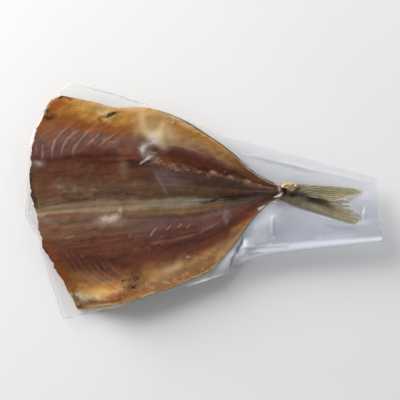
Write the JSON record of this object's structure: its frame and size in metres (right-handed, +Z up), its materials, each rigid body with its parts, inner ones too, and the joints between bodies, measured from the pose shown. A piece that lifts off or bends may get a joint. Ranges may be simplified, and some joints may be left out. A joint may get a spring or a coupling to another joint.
{
  "type": "soy-dried horse mackerel",
  "caption": "Headless horse mackerel, split along the belly, opened flat and soy-dried, flesh side up with its forked tail fin, sealed in a clear film bag.",
  "frame": {"origin": "middle of the bag's footprint, on the surface that it lies on", "axes": "+X along the fish towards its tail, +Y across the opened fish, +Z up from the surface, flesh side up"},
  "size_m": [0.1964, 0.1314, 0.0103],
  "materials": {
    "cured_flesh": "soy-cured, oily and glossy under film",
    "fish_skin": "silvery, dried",
    "tail_fin": "dried fin rays",
    "clear_film": "clear glossy packing film"
  },
  "bodies": {
    "root": {"sealed_bag": "cured_flesh"}
  },
  "joints": []
}
